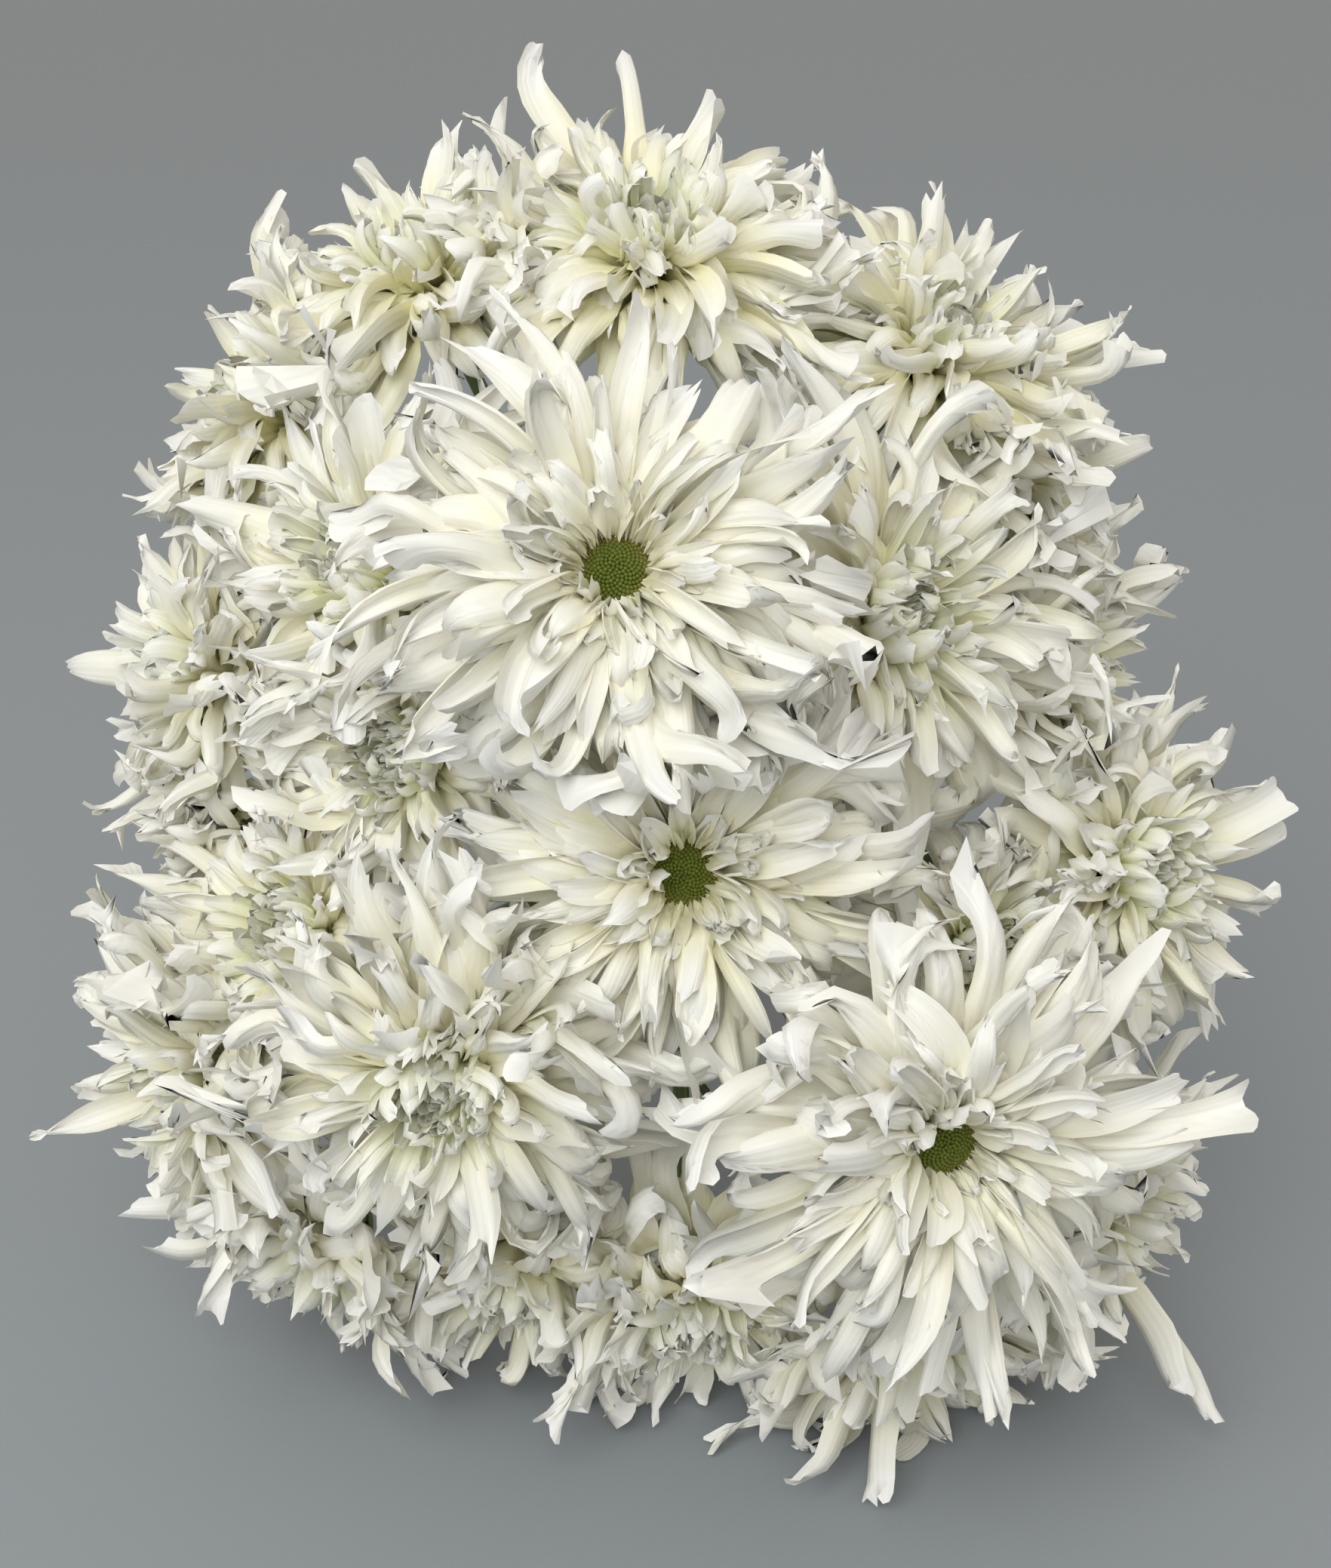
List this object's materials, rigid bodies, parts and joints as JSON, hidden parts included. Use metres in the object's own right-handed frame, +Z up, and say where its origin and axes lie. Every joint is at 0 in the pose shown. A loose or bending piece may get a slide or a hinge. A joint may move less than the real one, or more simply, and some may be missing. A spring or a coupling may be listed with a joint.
{
  "type": "multi-bloom chrysanthemum",
  "caption": "Cut spray chrysanthemum lying down: a branched stem with lobed leaves and a dense dome of white blooms with forked petals, some with open green discs.",
  "frame": {"origin": "middle of the bounding box's base, on the surface that the stem lies on", "axes": "+Z up; the head of blooms faces -Y, tipped up 25 degrees; the cut end of the stem lies towards +Y"},
  "size_m": [0.2363, 0.4941, 0.2366],
  "materials": {
    "petals": "fleshy satin",
    "disc": "fine matt grain",
    "stem": "ribbed satin",
    "leaf": "matt"
  },
  "bodies": {
    "root": {"stem": "stem", "bloom_01_petals": "petals", "bloom_02_petals": "petals", "bloom_03_petals": "petals", "bloom_04_petals": "petals", "bloom_05_petals": "petals", "bloom_06_petals": "petals", "bloom_07_petals": "petals", "bloom_08_petals": "petals", "bloom_09_petals": "petals", "bloom_10_petals": "petals", "bloom_11_petals": "petals", "bloom_12_petals": "petals", "bloom_13_petals": "petals", "bloom_14_petals": "petals", "bloom_15_petals": "petals", "bloom_16_petals": "petals", "bloom_17_petals": "petals", "bloom_18_petals": "petals", "bloom_19_petals": "petals", "bloom_20_petals": "petals", "bloom_21_petals": "petals", "bloom_22_petals": "petals", "bloom_23_petals": "petals", "bloom_24_petals": "petals", "bloom_01_disc": "disc", "bloom_02_disc": "disc", "bloom_03_disc": "disc", "leaf_1": "leaf", "leaf_2": "leaf", "leaf_3": "leaf", "leaf_4": "leaf", "leaf_5": "leaf", "leaf_6": "leaf"}
  },
  "joints": []
}
